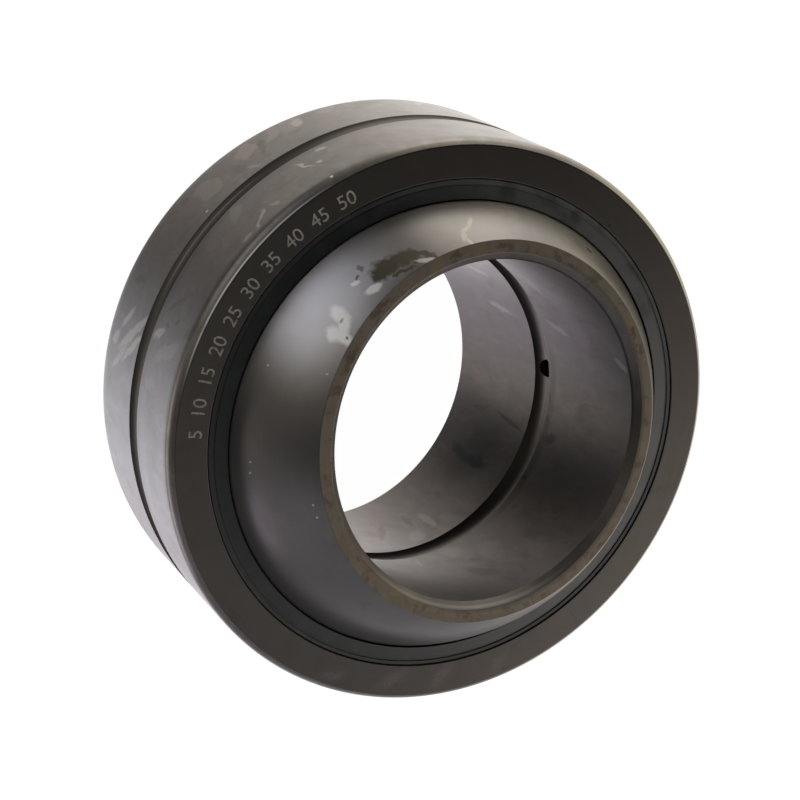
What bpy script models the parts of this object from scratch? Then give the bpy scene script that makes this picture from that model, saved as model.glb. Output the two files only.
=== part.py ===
"""Sealed spherical plain bearing of the wide-inner-ring series, steel on steel.

The ball-shaped inner ring stands on its end face with its axis along +Z. The outer ring and its two lip
seals turn about the ball's centre, which is the origin. They are modelled tilted about X.
"""

import math

import bmesh
import bpy

MM = 0.001

# Inner ring
BORE_DIAMETER = 70.0 * MM
INNER_WIDTH = 70.0 * MM
END_FACE_WIDTH = 4.131 * MM  # from the bore's wall out to where the ball begins
BORE_CHAMFER = 1.5 * MM
BORE_GROOVE_WIDTH = 5.6 * MM
BORE_GROOVE_DEPTH = 1.3 * MM

# Outer ring
OUTER_WIDTH = 45.0 * MM
OUTER_WALL = 7.5 * MM  # from the ball's surface to the outside
OUTER_CHAMFER = 1.3 * MM
OUTSIDE_GROOVE_WIDTH = 5.0 * MM
OUTSIDE_GROOVE_DEPTH = 1.3 * MM
RACE_CLEARANCE = 0.2 * MM
RACE_GROOVE_WIDTH = 4.4 * MM
RACE_GROOVE_DEPTH = 0.9 * MM
FRACTURE_GAP = 0.08 * MM
FRACTURE_AZIMUTH = math.radians(0.0)  # on the tilt axis, so the ring stays balanced about it

# Lubrication holes, an opposite pair in each ring
HOLE_DIAMETER = 4.0 * MM
INNER_HOLE_AZIMUTH = math.radians(58.5)
OUTER_HOLE_AZIMUTH = math.radians(105.0)

# Seal seats, turned into both sides of the outer ring
SEAT_WIDTH = 4.5 * MM  # from the ball out to the seat's wall, measured at the side face
SEAT_DEPTH = 3.7 * MM
SEAT_EDGE = 0.2 * MM
SNAP_GROOVE_DEPTH = 0.9 * MM
SNAP_GROOVE_HEIGHT = 1.7 * MM

# Lip seals
SEAT_GAP = 0.35 * MM
LIP_GAP = 0.25 * MM
RIM_SINK = 0.3 * MM  # the seal's rim lies this far below the side face
LIP_RISE = 0.1 * MM  # and its outer lip stands this far above it
RIM_WIDTH = 0.85 * MM
RIM_ROUNDING = 0.2 * MM
SEAL_GROOVE_WIDTH = 0.5 * MM
SEAL_GROOVE_DEPTH = 0.45 * MM
LIP_THICKNESS = 0.55 * MM
INNER_LIP_HEIGHT = 0.8 * MM
NOTCH_HEIGHT = 1.5 * MM  # of the grease pocket between the two lips
NOTCH_DEPTH = 1.0 * MM

# How the outer ring and its seals stand on the ball
TILT = math.radians(7.3)

# Fineness of the facets
SEGMENTS = 64
BALL_STEPS = 14
RACE_STEPS = 3
GROOVE_STEPS = 6
HOLE_SEGMENTS = 20
MERGE_DISTANCE = 0.01 * MM
SHARP_ANGLE = math.radians(30.0)

# Worked out from the sizes above
BORE_RADIUS = BORE_DIAMETER / 2
INNER_HALF = INNER_WIDTH / 2
OUTER_HALF = OUTER_WIDTH / 2
BALL_RADIUS = math.hypot(BORE_RADIUS + END_FACE_WIDTH, INNER_HALF)  # 52.5 mm
RACE_RADIUS = BALL_RADIUS + RACE_CLEARANCE
OUTSIDE_RADIUS = BALL_RADIUS + OUTER_WALL  # 60 mm


def sphere_point(radius, height):
    """Point of a sphere's section at a height over its centre."""
    return math.sqrt(radius**2 - height**2), height


def sphere_arc(radius, start, end, steps):
    """Section of a sphere from one height to another, in equal turns."""
    first, last = math.asin(start / radius), math.asin(end / radius)
    turns = [first + (last - first) * step / steps for step in range(steps + 1)]
    return [(radius * math.cos(turn), radius * math.sin(turn)) for turn in turns]


def groove_arc(wall, width, depth, side):
    """Round-bottomed groove from its upper edge to its lower one; side is 1 where the cut goes outwards."""
    half = width / 2
    arc_radius = (half**2 + depth**2) / (2 * depth)
    sweep = math.asin(half / arc_radius)
    if depth > half:
        sweep = math.pi - sweep
    turns = [sweep - 2 * sweep * step / GROOVE_STEPS for step in range(GROOVE_STEPS + 1)]
    centre = wall + side * (depth - arc_radius)
    return [(centre + side * arc_radius * math.cos(turn), arc_radius * math.sin(turn)) for turn in turns]


def mirrored(profile):
    """The same section below the middle plane, running the same way round."""
    return [(radius, -height) for radius, height in reversed(profile)]


def inner_ring_profile():
    """Section of the ball-shaped inner ring, down its outer side and back up its bore."""
    ball = sphere_arc(BALL_RADIUS, INNER_HALF, -INNER_HALF, BALL_STEPS)
    lower_edge = [(BORE_RADIUS + BORE_CHAMFER, -INNER_HALF), (BORE_RADIUS, -INNER_HALF + BORE_CHAMFER)]
    groove = groove_arc(BORE_RADIUS, BORE_GROOVE_WIDTH, BORE_GROOVE_DEPTH, 1)
    return ball + lower_edge + groove[::-1] + mirrored(lower_edge)


def seat_radius():
    """Radius of the seal seat's wall."""
    return sphere_point(BALL_RADIUS, OUTER_HALF)[0] + SEAT_WIDTH


def upper_seat():
    """Section of the upper seal seat, from the race out to the side face."""
    wall, floor = seat_radius(), OUTER_HALF - SEAT_DEPTH
    snap_wall, snap_top = wall + SNAP_GROOVE_DEPTH, floor + SNAP_GROOVE_HEIGHT
    return [
        (snap_wall, floor),
        (snap_wall, snap_top),
        (wall, snap_top),
        (wall, OUTER_HALF - SEAT_EDGE),
        (wall + SEAT_EDGE, OUTER_HALF),
    ]


def outer_ring_profile():
    """Section of the outer ring, down its outside and back up its race."""
    upper_edge = [(OUTSIDE_RADIUS - OUTER_CHAMFER, OUTER_HALF), (OUTSIDE_RADIUS, OUTER_HALF - OUTER_CHAMFER)]
    outside = upper_edge + groove_arc(OUTSIDE_RADIUS, OUTSIDE_GROOVE_WIDTH, OUTSIDE_GROOVE_DEPTH, -1)
    groove_wall = sphere_point(RACE_RADIUS, RACE_GROOVE_WIDTH / 2)[0]
    race_groove = groove_arc(groove_wall, RACE_GROOVE_WIDTH, RACE_GROOVE_DEPTH, 1)[::-1]
    upper_race = sphere_arc(RACE_RADIUS, RACE_GROOVE_WIDTH / 2, OUTER_HALF - SEAT_DEPTH, RACE_STEPS)[1:]
    race = mirrored(upper_race) + race_groove + upper_race
    return outside + mirrored(upper_edge) + mirrored(upper_seat()) + race + upper_seat()


def upper_seal_profile():
    """Section of the upper lip seal, down its snap-in side and back up its two lips."""
    wall = seat_radius() - SEAT_GAP
    bead = wall + SNAP_GROOVE_DEPTH
    bottom = OUTER_HALF - SEAT_DEPTH + SEAT_GAP
    bead_top = OUTER_HALF - SEAT_DEPTH + SNAP_GROOVE_HEIGHT - SEAT_GAP
    rim = OUTER_HALF - RIM_SINK
    outer_side = [(wall, rim - RIM_ROUNDING), (wall, bead_top), (bead, bead_top), (bead, bottom)]

    def near_ball(height, gap):
        return sphere_point(BALL_RADIUS, height)[0] + gap, height

    inner_lip_top = bottom + INNER_LIP_HEIGHT
    notch = bottom + NOTCH_HEIGHT
    lip = OUTER_HALF + LIP_RISE
    lips = [
        near_ball(bottom, LIP_GAP),
        near_ball(inner_lip_top, LIP_GAP),
        near_ball(notch, NOTCH_DEPTH),
        near_ball(lip - LIP_THICKNESS, NOTCH_DEPTH),
        near_ball(lip, LIP_GAP),
    ]
    rim_inside = wall - RIM_WIDTH
    groove_inside = rim_inside - SEAL_GROOVE_WIDTH
    face = [
        (groove_inside, rim),
        (groove_inside, rim - SEAL_GROOVE_DEPTH),
        (rim_inside, rim - SEAL_GROOVE_DEPTH),
        (rim_inside, rim),
        (wall - RIM_ROUNDING, rim),
    ]
    return outer_side + lips + face


def steel(name, colour, roughness):
    """Dark phosphated bearing steel."""
    return surface(name, colour, roughness, metallic=1.0)


def surface(name, colour, roughness, metallic):
    """Principled material of one colour."""
    material = bpy.data.materials.new(name)
    material.use_nodes = True
    shader = material.node_tree.nodes["Principled BSDF"]
    shader.inputs["Base Color"].default_value = (*colour, 1.0)
    shader.inputs["Roughness"].default_value = roughness
    shader.inputs["Metallic"].default_value = metallic
    material.diffuse_color = (*colour, 1.0)
    return material


def turned(name, profile, material, collection):
    """Solid of revolution about Z from a closed section."""
    mesh = bpy.data.meshes.new(name)
    shape = bmesh.new()
    corners = [shape.verts.new((radius, 0.0, height)) for radius, height in profile]
    for corner, following in zip(corners, corners[1:] + corners[:1]):
        shape.edges.new((corner, following))
    shape.to_mesh(mesh)
    shape.free()
    mesh.materials.append(material)
    solid = bpy.data.objects.new(name, mesh)
    collection.objects.link(solid)
    screw = solid.modifiers.new("turn", "SCREW")
    screw.axis = "Z"
    screw.angle = math.tau
    screw.steps = screw.render_steps = SEGMENTS
    screw.use_merge_vertices = True
    screw.merge_threshold = MERGE_DISTANCE
    return solid


def drill(solid, azimuth, inside, outside, cutters):
    """Cuts an opposite pair of radial lubrication holes through a ring's wall."""
    for turn in (azimuth, azimuth + math.pi):
        middle = (inside + outside) / 2
        bpy.ops.mesh.primitive_cylinder_add(
            vertices=HOLE_SEGMENTS,
            radius=HOLE_DIAMETER / 2,
            depth=outside - inside,
            location=(middle * math.cos(turn), middle * math.sin(turn), 0.0),
            rotation=(0.0, math.pi / 2, turn),
        )
        cut(solid, bpy.context.active_object, "hole", cutters)


def fracture(solid, cutters):
    """Cuts the hairline where the hardened ring was cracked open to go over the ball."""
    inside, outside = BALL_RADIUS / 2, OUTSIDE_RADIUS + OUTER_WALL
    middle = (inside + outside) / 2
    turn = FRACTURE_AZIMUTH
    bpy.ops.mesh.primitive_cube_add(
        size=1.0,
        location=(middle * math.cos(turn), middle * math.sin(turn), 0.0),
        rotation=(0.0, 0.0, turn),
        scale=(outside - inside, FRACTURE_GAP, OUTER_WIDTH + OUTER_WALL),
    )
    cut(solid, bpy.context.active_object, "fracture", cutters)


def cut(solid, cutter, name, cutters):
    """Takes a cutter's shape out of a solid."""
    for collection in list(cutter.users_collection):
        collection.objects.unlink(cutter)
    cutters.objects.link(cutter)
    cutter.name = f"{solid.name}_{name}"
    cutter.hide_render = True
    cutter.display_type = "WIRE"
    boolean = solid.modifiers.new(name, "BOOLEAN")
    boolean.operation = "DIFFERENCE"
    boolean.solver = "EXACT"
    boolean.object = cutter


def settle(solid):
    """Turns the modifiers' result into the solid's own mesh, shaded smooth up to its sharp corners."""
    graph = bpy.context.evaluated_depsgraph_get()
    mesh = bpy.data.meshes.new_from_object(solid.evaluated_get(graph))
    solid.modifiers.clear()
    solid.data = mesh
    mesh.shade_smooth()
    mesh.set_sharp_from_angle(angle=SHARP_ANGLE)


def clear_scene():
    """Removes whatever the open file holds."""
    for item in list(bpy.data.objects):
        bpy.data.objects.remove(item, do_unlink=True)


def new_collection(name):
    """Collection in the open scene."""
    collection = bpy.data.collections.new(name)
    bpy.context.scene.collection.children.link(collection)
    return collection


def build_inner_ring(collection, cutters):
    """Ball-shaped inner ring with its bore, bore groove and lubrication holes."""
    material = steel("inner_ring_steel", (0.20, 0.19, 0.19), 0.32)
    ring = turned("inner_ring", inner_ring_profile(), material, collection)
    drill(ring, INNER_HOLE_AZIMUTH, BORE_RADIUS / 2, BALL_RADIUS + OUTER_WALL, cutters)
    settle(ring)
    return ring


def build_outer_ring(collection, cutters):
    """Outer ring with its race, seal seats, outside groove, lubrication holes and fracture."""
    material = steel("outer_ring_steel", (0.12, 0.11, 0.10), 0.38)
    ring = turned("outer_ring", outer_ring_profile(), material, collection)
    drill(ring, OUTER_HOLE_AZIMUTH, BALL_RADIUS / 2, OUTSIDE_RADIUS + OUTER_WALL, cutters)
    fracture(ring, cutters)
    settle(ring)
    return ring


def build_seals(collection):
    """The two lip seals, the lower one mirrored."""
    material = surface("seal_rubber", (0.035, 0.04, 0.045), 0.55, metallic=0.0)
    upper = turned("upper_seal", upper_seal_profile(), material, collection)
    lower = turned("lower_seal", mirrored(upper_seal_profile()), material, collection)
    settle(upper)
    settle(lower)
    return [upper, lower]


def main():
    """Builds the bearing."""
    clear_scene()
    collection = new_collection("spherical_plain_bearing")
    cutters = new_collection("cutters")
    build_inner_ring(collection, cutters)
    outer_parts = [build_outer_ring(collection, cutters), *build_seals(collection)]
    pivot = bpy.data.objects.new("tilt_pivot", None)
    pivot.rotation_euler.x = TILT
    collection.objects.link(pivot)
    for part in outer_parts:
        part.parent = pivot


main()
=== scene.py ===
"""Looks of a sealed spherical plain bearing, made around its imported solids.

The ball-shaped inner ring stands on its end face with its axis along +Z. The outer ring, its two lip seals
and the numbers etched on its side face turn about the ball's centre, which is the origin, and stand tilted
about X. Azimuths run from +X towards +Y, in degrees, and in the outer ring's case about its own axis.
"""

import logging
import math
from collections.abc import Iterable, Mapping, Sequence
from dataclasses import dataclass, field
from enum import Enum
from functools import cached_property
from typing import Any

import bmesh
import bpy
from bpy.types import Material, Mesh, Node, NodeSocket, NodeTree, Object
from mathutils import Matrix, Vector


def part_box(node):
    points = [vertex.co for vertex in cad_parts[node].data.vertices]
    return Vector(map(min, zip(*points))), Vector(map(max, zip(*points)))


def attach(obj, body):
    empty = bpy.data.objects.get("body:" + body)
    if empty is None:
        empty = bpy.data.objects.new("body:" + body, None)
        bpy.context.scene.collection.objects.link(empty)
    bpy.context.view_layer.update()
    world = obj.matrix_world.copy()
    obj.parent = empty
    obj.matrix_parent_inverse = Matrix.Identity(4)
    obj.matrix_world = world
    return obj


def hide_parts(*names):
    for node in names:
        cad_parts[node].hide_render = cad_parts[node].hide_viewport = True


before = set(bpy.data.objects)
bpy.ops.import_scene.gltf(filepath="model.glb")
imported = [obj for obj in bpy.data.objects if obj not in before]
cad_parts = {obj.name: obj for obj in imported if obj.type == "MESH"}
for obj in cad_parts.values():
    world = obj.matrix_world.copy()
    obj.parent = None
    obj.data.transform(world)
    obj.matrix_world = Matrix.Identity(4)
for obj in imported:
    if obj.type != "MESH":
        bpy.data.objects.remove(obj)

LOG = logging.getLogger("bearing")
MM = 0.001
SHARP_FROM = math.radians(35.0)

Colour = tuple[float, float, float]
Point = tuple[float, float]
Span = tuple[float, float]

WHITE: Colour = (1.0, 1.0, 1.0)
UP = Vector((0.0, 0.0, 1.0))


class Value:
    """A number carried by a socket. Arithmetic on it adds Math nodes to its graph."""

    def __init__(self, graph: "Graph", socket: NodeSocket) -> None:
        """Wraps a socket of the graph."""
        self.graph = graph
        self.socket = socket

    def _worked(self, operation: str, *terms: "Number", clamp: bool = False) -> "Value":
        """Adds one Math node.

        Args:
            operation: The Math node's operation.
            terms: Its values or links, in their order.
            clamp: Whether the result is kept between 0 and 1.

        Returns:
            The node's result.
        """
        settings = {"operation": operation, "use_clamp": clamp}
        return self.graph.value("ShaderNodeMath", settings, dict(enumerate(terms)))

    def __add__(self, other: "Number") -> "Value":
        """Sum."""
        return self._worked("ADD", self, other)

    def __radd__(self, other: "Number") -> "Value":
        """Sum with a number on the left."""
        return self._worked("ADD", other, self)

    def __sub__(self, other: "Number") -> "Value":
        """Difference."""
        return self._worked("SUBTRACT", self, other)

    def __rsub__(self, other: "Number") -> "Value":
        """Difference from a number on the left."""
        return self._worked("SUBTRACT", other, self)

    def __mul__(self, other: "Number") -> "Value":
        """Product."""
        return self._worked("MULTIPLY", self, other)

    def __rmul__(self, other: "Number") -> "Value":
        """Product with a number on the left."""
        return self._worked("MULTIPLY", other, self)

    def __truediv__(self, other: "Number") -> "Value":
        """Quotient."""
        return self._worked("DIVIDE", self, other)

    def __rtruediv__(self, other: "Number") -> "Value":
        """Quotient of a number on the left."""
        return self._worked("DIVIDE", other, self)

    def wrapped(self, count: "Number") -> "Value":
        """Remainder of a division by a count, never negative."""
        return self._worked("FLOORED_MODULO", self, count)

    def root(self) -> "Value":
        """Square root."""
        return self._worked("SQRT", self)

    def size(self) -> "Value":
        """The same without its sign."""
        return self._worked("ABSOLUTE", self)

    def floor(self) -> "Value":
        """The whole number below."""
        return self._worked("FLOOR", self)

    def most(self, other: "Number") -> "Value":
        """The larger of two."""
        return self._worked("MAXIMUM", self, other)

    def near(self, other: "Number", reach: float) -> "Value":
        """1 where this is within reach of another number, and 0 elsewhere."""
        return self._worked("COMPARE", self, other, reach)

    def ramp(self, start: float, end: float) -> "Value":
        """Smooth step from 0 to 1.

        Args:
            start: Where it is 0.
            end: Where it is 1, which may lie below start.

        Returns:
            The step.
        """
        low, high = min(start, end), max(start, end)
        settings = {"interpolation_type": "SMOOTHSTEP"}
        inputs = {"Value": self, "From Min": low, "From Max": high}
        step = self.graph.value("ShaderNodeMapRange", settings, inputs)
        return step if start < end else 1.0 - step


Number = Value | float | int
Settings = Mapping[str, Any] | None
Inputs = Mapping[str | int, Any] | None


class Triple:
    """Three numbers carried by a socket: a place, a direction or a colour."""

    def __init__(self, graph: "Graph", socket: NodeSocket) -> None:
        """Wraps a socket of the graph."""
        self.graph = graph
        self.socket = socket

    def plus(self, other: Any) -> "Triple":
        """Sum, part by part."""
        return self.graph.triple("ShaderNodeVectorMath", {"operation": "ADD"}, {0: self, 1: other})

    def times(self, other: Any) -> "Triple":
        """Product, part by part."""
        return self.graph.triple("ShaderNodeVectorMath", {"operation": "MULTIPLY"}, {0: self, 1: other})

    def grown(self, factor: Number) -> "Triple":
        """Every part times one number."""
        inputs = {"Vector": self, "Scale": factor}
        return self.graph.triple("ShaderNodeVectorMath", {"operation": "SCALE"}, inputs)

    def length(self) -> Value:
        """Length."""
        return self.graph.value("ShaderNodeVectorMath", {"operation": "LENGTH"}, {0: self})

    def dot(self, other: Any) -> Value:
        """Dot product."""
        return self.graph.value("ShaderNodeVectorMath", {"operation": "DOT_PRODUCT"}, {0: self, 1: other})

    def parts(self) -> tuple[Value, Value, Value]:
        """The three numbers by themselves."""
        node = self.graph.node("ShaderNodeSeparateXYZ", None, {0: self})
        return tuple(Value(self.graph, output) for output in node.outputs)

    def mixed(self, other: Any, share: Number) -> "Triple":
        """Blend towards another colour.

        Args:
            other: The other colour, as numbers or a link.
            share: How much of it shows, from 0 to 1.

        Returns:
            The blended colour.
        """
        inputs = {"Factor": share, "A": self, "B": other}
        return self.graph.triple("ShaderNodeMix", {"data_type": "RGBA"}, inputs)


class Graph:
    """A node tree that is filled through one method and through expressions on its sockets."""

    def __init__(self, tree: NodeTree) -> None:
        """Wraps a node tree."""
        self.tree = tree

    def node(self, kind: str, settings: Settings = None, inputs: Inputs = None) -> Node:
        """Adds one node.

        Args:
            kind: The node's type.
            settings: Its own properties, set first.
            inputs: Values or links of its sockets, by name or by place.

        Returns:
            The node.
        """
        node = self.tree.nodes.new(kind)
        for name, setting in (settings or {}).items():
            setattr(node, name, setting)
        for key, given in (inputs or {}).items():
            self.feed(self._socket(node, key), given)
        return node

    def value(self, kind: str, settings: Settings = None, inputs: Inputs = None) -> Value:
        """Adds one node and returns its first output as a number."""
        return Value(self, self._first(self.node(kind, settings, inputs)))

    def triple(self, kind: str, settings: Settings = None, inputs: Inputs = None) -> Triple:
        """Adds one node and returns its first output as three numbers."""
        return Triple(self, self._first(self.node(kind, settings, inputs)))

    def joined(self, x: Number, y: Number, z: Number) -> Triple:
        """Three numbers put together."""
        return self.triple("ShaderNodeCombineXYZ", None, {"X": x, "Y": y, "Z": z})

    def noise(self, place: Triple, scale: float, detail: float, more: Inputs = None) -> Value:
        """Soft noise at a place. Its other inputs go by name."""
        inputs = {"Vector": place, "Scale": scale, "Detail": detail, **(more or {})}
        return self.value("ShaderNodeTexNoise", None, inputs)

    def feed(self, socket: NodeSocket, given: Any) -> None:
        """Links a socket, or sets its value.

        Args:
            socket: The input socket.
            given: A wrapped or bare output socket, several of them in a list, or a plain value.
        """
        for item in given if isinstance(given, list) else [given]:
            if isinstance(item, (Value, Triple)):
                self.tree.links.new(item.socket, socket)
            elif isinstance(item, NodeSocket):
                self.tree.links.new(item, socket)
            elif socket.type == "RGBA" and len(item) == 3:
                socket.default_value = (*item, 1.0)
            else:
                socket.default_value = item

    @staticmethod
    def _first(node: Node) -> NodeSocket:
        """The node's first output that is in use."""
        return next(output for output in node.outputs if output.enabled)

    @staticmethod
    def _socket(node: Node, key: str | int) -> NodeSocket:
        """Finds an input of a node.

        Args:
            node: The node.
            key: The input's name, or its place.

        Returns:
            The input socket.
        """
        if isinstance(key, int):
            return node.inputs[key]
        return next(socket for socket in node.inputs if socket.enabled and socket.name == key)


class GeometryTree(Graph):
    """Geometry Nodes tree with named inputs."""

    def __init__(self, name: str) -> None:
        """Makes an empty tree with one geometry output.

        Args:
            name: Its name.
        """
        super().__init__(bpy.data.node_groups.new(name, "GeometryNodeTree"))
        self.tree.interface.new_socket("Geometry", in_out="OUTPUT", socket_type="NodeSocketGeometry")
        self.entry = self.node("NodeGroupInput")

    def input(self, name: str, kind: str) -> NodeSocket:
        """Finds a named input of the tree, or adds it.

        Args:
            name: Its name.
            kind: Its socket type.

        Returns:
            The socket that carries it.
        """
        if name not in {socket.name for socket in self.entry.outputs}:
            self.tree.interface.new_socket(name, in_out="INPUT", socket_type=kind)
        return self.entry.outputs[name]

    def number(self, name: str, kind: str = "NodeSocketFloat") -> Value:
        """The named input as a number."""
        return Value(self, self.input(name, kind))

    def named(self, name: str) -> Value:
        """The whole number that the geometry stores under a name."""
        return self.value("GeometryNodeInputNamedAttribute", {"data_type": "INT"}, {"Name": name})

    def step(self, kind: str, inputs: Inputs, **settings: str) -> NodeSocket:
        """Adds one geometry node.

        Args:
            kind: The node's type, without its prefix.
            inputs: Values or links of its sockets, by name or by place.
            settings: Its own properties.

        Returns:
            The node's first output.
        """
        return self.node(f"GeometryNode{kind}", settings, inputs).outputs[0]

    def sampled(self, shape: Any, what: Value | Triple, index: Value) -> Value | Triple:
        """Reads what a shape has at one of its points.

        Args:
            shape: The shape.
            what: What is read: a whole number, or three numbers.
            index: Which point.

        Returns:
            The same at that point.
        """
        kind, add = ("INT", self.value) if isinstance(what, Value) else ("FLOAT_VECTOR", self.triple)
        settings = {"data_type": kind, "domain": "POINT"}
        return add("GeometryNodeSampleIndex", settings, {"Geometry": shape, "Value": what, "Index": index})

    def turned(self, place: Triple, azimuth: Number) -> Triple:
        """A place turned about Z."""
        inputs = {"Vector": place, "Angle": azimuth}
        return self.triple("ShaderNodeVectorRotate", {"rotation_type": "Z_AXIS"}, inputs)

    def moved(self, shape: Any, place: Triple) -> NodeSocket:
        """The shape with its points put in new places."""
        return self.step("SetPosition", {"Geometry": shape, "Position": place})

    def tilted(self, shape: Any) -> NodeSocket:
        """The shape turned about X by the tree's tilt."""
        return self.step("Transform", {0: shape, "Rotation": self.joined(self.number("Tilt"), 0, 0)})

    def output(self, shape: Any) -> None:
        """Ends the tree with a shape."""
        self.node("NodeGroupOutput", None, {0: shape})


class Paint(Graph):
    """Graph of a new material, on the coordinates of a piece about its own axis."""

    LINE_DETAIL = 2.0

    def __init__(self, name: str, colour: Colour, tilt: float = 0.0) -> None:
        """Makes the material.

        Args:
            name: Its name.
            colour: Its base colour.
            tilt: How far the piece is turned about X.
        """
        self.material = bpy.data.materials.new(name)
        self.material.use_nodes = True
        self.material.diffuse_color = (*colour, 1.0)
        super().__init__(self.material.node_tree)
        place = self.node("ShaderNodeTexCoord").outputs["Object"]
        inputs = {"Vector": place, "Rotation": (-tilt, 0.0, 0.0)}
        self.place = self.triple("ShaderNodeMapping", {"vector_type": "POINT"}, inputs)
        self.base = self.triple("ShaderNodeRGB")
        self.base.socket.default_value = (*colour, 1.0)

    @cached_property
    def round(self) -> tuple[Value, Value, Value, Value]:
        """The place's two parts across the axis, its distance from the axis and its height."""
        x, y, height = self.place.parts()
        return x, y, (x * x + y * y).root(), height

    def facing(self, azimuth: float) -> Value:
        """How far a place faces an azimuth.

        Args:
            azimuth: The azimuth, in degrees.

        Returns:
            Cosine of the place's angle from it.
        """
        x, y, radius, _ = self.round
        turn = math.radians(azimuth)
        return (x * math.cos(turn) + y * math.sin(turn)) / radius

    def lines(self, spacing: float, wander: float, more: Inputs = None) -> Value:
        """Fine lines around the axis, which wander slowly along it.

        Args:
            spacing: How far they are apart, in millimetres.
            wander: How fast they wander.
            more: Other inputs of the noise, by name.

        Returns:
            Their height, from 0 to 1.
        """
        _, _, radius, height = self.round
        fine = 1 / (spacing * MM)
        along = self.joined(radius * fine, height * fine, 0.0).plus(self.place.grown(wander))
        return self.noise(along, 1.0, self.LINE_DETAIL, more)

    def finished(self, inputs: dict[str, Any], relief: Value | None = None, depth: float = 0.0) -> Material:
        """Feeds the material's shader.

        Args:
            inputs: What goes into its sockets, by name.
            relief: Height of a fine relief, from 0 to 1.
            depth: The relief's depth in millimetres.

        Returns:
            The material.
        """
        if relief is not None:
            bump = {"Strength": 1.0, "Distance": depth * MM, "Height": relief}
            inputs = inputs | {"Normal": self.node("ShaderNodeBump", None, bump).outputs[0]}
        shader = self.tree.nodes["Principled BSDF"]
        for name, given in inputs.items():
            self.feed(shader.inputs[name], given)
        return self.material


class Zone(Enum):
    """Stretch of a turned section, by how it is finished."""

    TURNED = 0
    BALL = 1
    BORE = 2
    FACE = 3
    OUTSIDE = 4
    RUBBER = 5
    GROOVE = 6


@dataclass(frozen=True)
class Corner:
    """Corner of a section, with the radius that it is rounded to and the finish of the stretch after it."""

    radius: float
    height: float
    rounding: float = 0.0
    zone: Zone = Zone.TURNED

    @property
    def place(self) -> Vector:
        """Its place in the section's plane."""
        return Vector((self.radius, self.height))


@dataclass
class Section:
    """Closed section of a turned piece.

    A support point stands on each side of a rounding, so that the flat beside it stays flat when it is
    shaded smooth.
    """

    corners: list[Corner] = field(default_factory=list)
    turn_step: float = math.radians(12.0)
    support: float = 0.6

    def corner(self, radius: float, height: float, rounding: float = 0.0, zone: Zone = Zone.TURNED) -> None:
        """Adds a corner.

        Args:
            radius: Its distance from the axis.
            height: Its height over the middle plane.
            rounding: The radius that it is rounded to.
            zone: The finish of the stretch that follows.
        """
        self.corners.append(Corner(radius, height, rounding, zone))

    def run(self, points: Iterable[Point], zone: Zone) -> None:
        """Adds points of a curve, with one finish."""
        self.corners += [Corner(radius, height, 0.0, zone) for radius, height in points]

    def outline(self) -> list[tuple[Vector, Zone]]:
        """Rounds the corners.

        Returns:
            Points of the rounded section, each with the finish of the stretch after it.
        """
        points: list[tuple[Vector, Zone]] = []
        following = self.corners[1:] + self.corners[:1]
        for before, corner, after in zip(self.corners[-1:] + self.corners[:-1], self.corners, following):
            if corner.rounding:
                points += self._rounded(before, corner, after)
            else:
                points.append((corner.place, corner.zone))
        return points

    def _rounded(self, before: Corner, corner: Corner, after: Corner) -> list[tuple[Vector, Zone]]:
        """Rounds one corner.

        Args:
            before: The corner before it.
            corner: The corner.
            after: The corner after it.

        Returns:
            Points of the rounding and its two supports, each with its finish.
        """
        back, ahead = before.place - corner.place, after.place - corner.place
        towards, onwards = back.normalized(), ahead.normalized()
        half = towards.angle(onwards) / 2
        reach = corner.rounding / math.tan(half)
        centre = corner.place + (towards + onwards).normalized() * corner.rounding / math.sin(half)
        first, last = corner.place + towards * reach - centre, corner.place + onwards * reach - centre
        steps = max(2, math.ceil((math.pi - 2 * half) / self.turn_step))
        wanted = corner.rounding * self.support
        shares = [min(wanted, (side.length - reach) / 3) for side in (back, ahead)]
        points = [(corner.place + towards * (reach + shares[0]), before.zone)]
        for step in range(steps + 1):
            spoke = first.slerp(last, step / steps) * corner.rounding
            points.append((centre + spoke, before.zone if 2 * step < steps else corner.zone))
        points.append((corner.place + onwards * (reach + shares[1]), corner.zone))
        return points


def sphere_radius(radius: float, height: float) -> float:
    """Distance from the axis of a sphere's surface at a height over its centre."""
    return math.sqrt(radius**2 - height**2)


def sphere_arc(radius: float, start: float, end: float, steps: int) -> list[Point]:
    """Section of a sphere from one height to another.

    Args:
        radius: The sphere's radius.
        start: Height of the first point.
        end: Height of the last point.
        steps: Number of equal turns.

    Returns:
        The points, as distances from the axis and heights.
    """
    first, last = math.asin(start / radius), math.asin(end / radius)
    turns = [first + (last - first) * step / steps for step in range(steps + 1)]
    return [(radius * math.cos(turn), radius * math.sin(turn)) for turn in turns]


def groove_arc(wall: float, width: float, depth: float, side: int, steps: int) -> list[Point]:
    """Inner points of a round-bottomed groove, from above down, without its two edges.

    Args:
        wall: Radius of the wall that it is cut in.
        width: Its width along the axis.
        depth: Its depth.
        side: 1 where the cut goes outwards, -1 where it goes inwards.
        steps: Number of equal turns.

    Returns:
        The points, as distances from the axis and heights.
    """
    half = width / 2
    arc_radius = (half**2 + depth**2) / (2 * depth)
    sweep = math.asin(half / arc_radius)
    turns = [sweep - 2 * sweep * step / steps for step in range(1, steps)]
    centre = wall + side * (depth - arc_radius)
    return [(centre + side * arc_radius * math.cos(turn), arc_radius * math.sin(turn)) for turn in turns]


@dataclass(frozen=True)
class OilHoles:
    """Opposite pair of radial lubrication holes, as the tool that drills them."""

    azimuth: float
    inside: float
    outside: float
    diameter: float = 4.0 * MM
    facets: int = 48


@dataclass(frozen=True)
class Fracture:
    """Hairline where a hardened ring is cracked open, across the ring at azimuth 0."""

    gap: float = 0.02 * MM
    raggedness: float = 0.35 * MM
    grain: float = 1.6 * MM
    detail: float = 4.0
    roughness: float = 0.6
    fade: int = 5


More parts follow.
